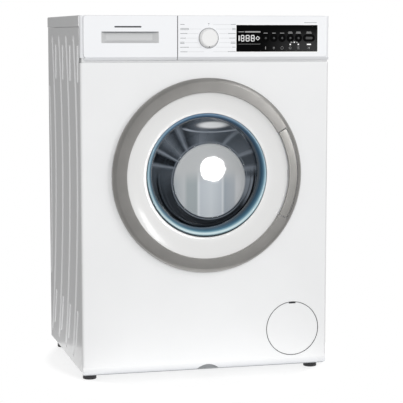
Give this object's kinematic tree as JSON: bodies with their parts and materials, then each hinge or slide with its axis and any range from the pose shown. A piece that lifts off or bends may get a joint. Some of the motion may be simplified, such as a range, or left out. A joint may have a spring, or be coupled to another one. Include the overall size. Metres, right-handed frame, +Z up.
{
  "type": "front load washing machine",
  "caption": "Slim free-standing front loading washing machine with a round glass door, detergent drawer, dial, button panel, suspended tub and belt driven drum",
  "frame": {"origin": "bottom centre of the whole machine, on the floor", "axes": "X to the right and Y to the back, seen from the front; Z up"},
  "size_m": [0.597, 0.497, 0.845],
  "materials": {
    "white_sheet": "white stove enamel on sheet steel, semi gloss",
    "zinc_sheet": "zinc-plated sheet steel",
    "worktop_laminate": "white laminate on particle board",
    "white_plastic": "white ABS, semi gloss",
    "silver_plastic": "satin silver lacquer on ABS",
    "black_gloss": "black high gloss",
    "door_glass": "pressed soda-lime glass, faint blue green",
    "grey_plastic": "light grey polypropylene",
    "black_plastic": "black moulded nylon",
    "filter_plastic": "dark grey polypropylene",
    "drum_steel": "brushed stainless steel",
    "bright_steel": "plain bright steel",
    "cast_metal": "cast aluminium",
    "concrete": "cast concrete",
    "gasket_rubber": "grey EPDM rubber",
    "circuit_board": "green epoxy board"
  },
  "bodies": {
    "cabinet": {"base_frame": "zinc_sheet", "left_side_panel": "white_sheet", "right_side_panel": "white_sheet", "front_panel": "white_sheet", "rear_panel": "zinc_sheet", "rear_service_cover": "zinc_sheet", "worktop": "worktop_laminate", "cross_braces": "zinc_sheet", "cabinet_screws": "bright_steel", "transit_hole_plugs": "grey_plastic", "inlet_valve": "black_plastic", "drain_outlet": "black_plastic", "mains_gland": "black_plastic", "fascia": "white_plastic", "display_window": "black_gloss", "control_board": "circuit_board", "drawer_housing": "grey_plastic", "door_hinge_bracket": "bright_steel", "door_lock": "grey_plastic", "damper_cylinders": "grey_plastic", "pump_body": "grey_plastic"},
    "door": {"door_outer_ring": "silver_plastic", "door_funnel": "white_plastic", "door_glass_bowl": "door_glass", "door_back_frame": "white_plastic", "door_hinge_arm": "bright_steel"},
    "handle": {"door_handle": "silver_plastic"},
    "latch": {"door_latch_hook": "bright_steel"},
    "tub": {"tub_front_half": "grey_plastic", "tub_rear_half": "grey_plastic", "counterweights": "concrete", "drum_bearings": "bright_steel", "motor_body": "cast_metal", "drive_belt": "gasket_rubber", "heater": "bright_steel", "damper_rods": "bright_steel", "door_gasket": "gasket_rubber", "suspension_springs": "bright_steel", "tub_hoses": "gasket_rubber"},
    "drum": {"drum_shell": "drum_steel", "drum_lifters": "grey_plastic", "drum_spider": "cast_metal", "drum_pulley": "cast_metal"},
    "rotor": {"motor_pulley": "bright_steel"},
    "drawer": {"drawer_front": "white_plastic", "drawer_tray": "grey_plastic"},
    "knob": {"program_knob": "white_plastic"},
    "cover": {"pump_cover": "white_plastic"},
    "filter": {"pump_filter": "filter_plastic"},
    "impeller": {"pump_impeller": "filter_plastic"},
    "button_1": {"option_button_1": "black_gloss"},
    "button_2": {"option_button_2": "black_gloss"},
    "button_3": {"option_button_3": "black_gloss"},
    "button_4": {"option_button_4": "black_gloss"},
    "button_5": {"option_button_5": "black_gloss"},
    "start": {"start_button": "black_gloss"},
    "leg_front_left": {"foot_front_left": "black_plastic"},
    "leg_rear_left": {"foot_rear_left": "black_plastic"},
    "leg_front_right": {"foot_front_right": "black_plastic"},
    "leg_rear_right": {"foot_rear_right": "black_plastic"}
  },
  "joints": [
    {"name": "door_hinge", "type": "hinge", "parent": "cabinet", "child": "door", "pos_m": [-0.212, -0.2345, 0.476], "axis": [0, 0, -1], "range_deg": [0, 125]},
    {"name": "handle_hinge", "type": "hinge", "parent": "door", "child": "handle", "pos_m": [0.211, -0.2425, 0.476], "axis": [0, 0, 1], "range_deg": [0, 18], "stiffness_Nm_per_rad": 0.2, "springref_deg": -5.73},
    {"name": "latch_hinge", "type": "hinge", "parent": "door", "child": "latch", "pos_m": [0.184, -0.2269, 0.476], "axis": [0, 0, 1], "range_deg": [0, 9]},
    {"name": "tub_suspension", "type": "slide", "parent": "cabinet", "child": "tub", "axis": [0, 0, 1], "range_m": [-0.012, 0.008], "stiffness_N_per_m": 14000, "springref_m": 0.02347, "deforming": ["door_gasket", "suspension_springs", "tub_hoses"]},
    {"name": "drum_spin", "type": "hinge", "parent": "tub", "child": "drum", "pos_m": [0, 0.16, 0.476], "axis": [0, 1, 0], "continuous": true},
    {"name": "motor_spin", "type": "hinge", "parent": "tub", "child": "rotor", "pos_m": [0.04, 0.16, 0.14], "axis": [0, 1, 0], "continuous": true},
    {"name": "drawer_slide", "type": "slide", "parent": "cabinet", "child": "drawer", "axis": [0, -1, 0], "range_m": [0, 0.22]},
    {"name": "knob_turn", "type": "hinge", "parent": "cabinet", "child": "knob", "pos_m": [0.002, -0.2345, 0.7935], "axis": [0, 1, 0], "continuous": true},
    {"name": "cover_hinge", "type": "hinge", "parent": "cabinet", "child": "cover", "pos_m": [0.2112, -0.2245, 0.0423], "axis": [1, 0, 0], "range_deg": [0, 75]},
    {"name": "filter_turn", "type": "hinge", "parent": "cabinet", "child": "filter", "pos_m": [0.2112, -0.1795, 0.104], "axis": [0, 1, 0], "range_deg": [0, 90]},
    {"name": "impeller_spin", "type": "hinge", "parent": "cabinet", "child": "impeller", "pos_m": [0.2112, -0.0995, 0.104], "axis": [0, 1, 0], "continuous": true},
    {"name": "button_1_press", "type": "slide", "parent": "cabinet", "child": "button_1", "axis": [0, 1, 0], "range_m": [0, 0.0012], "stiffness_N_per_m": 500, "springref_m": -0.001},
    {"name": "button_2_press", "type": "slide", "parent": "cabinet", "child": "button_2", "axis": [0, 1, 0], "range_m": [0, 0.0012], "stiffness_N_per_m": 500, "springref_m": -0.001},
    {"name": "button_3_press", "type": "slide", "parent": "cabinet", "child": "button_3", "axis": [0, 1, 0], "range_m": [0, 0.0012], "stiffness_N_per_m": 500, "springref_m": -0.001},
    {"name": "button_4_press", "type": "slide", "parent": "cabinet", "child": "button_4", "axis": [0, 1, 0], "range_m": [0, 0.0012], "stiffness_N_per_m": 500, "springref_m": -0.001},
    {"name": "button_5_press", "type": "slide", "parent": "cabinet", "child": "button_5", "axis": [0, 1, 0], "range_m": [0, 0.0012], "stiffness_N_per_m": 500, "springref_m": -0.001},
    {"name": "start_press", "type": "slide", "parent": "cabinet", "child": "start", "axis": [0, 1, 0], "range_m": [0, 0.0012], "stiffness_N_per_m": 500, "springref_m": -0.001},
    {"name": "leg_front_left_screw", "type": "slide", "parent": "cabinet", "child": "leg_front_left", "axis": [0, 0, -1], "range_m": [0, 0.012]},
    {"name": "leg_rear_left_screw", "type": "slide", "parent": "cabinet", "child": "leg_rear_left", "axis": [0, 0, -1], "range_m": [0, 0.012]},
    {"name": "leg_front_right_screw", "type": "slide", "parent": "cabinet", "child": "leg_front_right", "axis": [0, 0, -1], "range_m": [0, 0.012]},
    {"name": "leg_rear_right_screw", "type": "slide", "parent": "cabinet", "child": "leg_rear_right", "axis": [0, 0, -1], "range_m": [0, 0.012]}
  ],
  "couplings": [
    {"joint": "motor_spin", "follows": "drum_spin", "ratio": 14},
    {"joint": "latch_hinge", "follows": "handle_hinge", "ratio": 0.5}
  ]
}
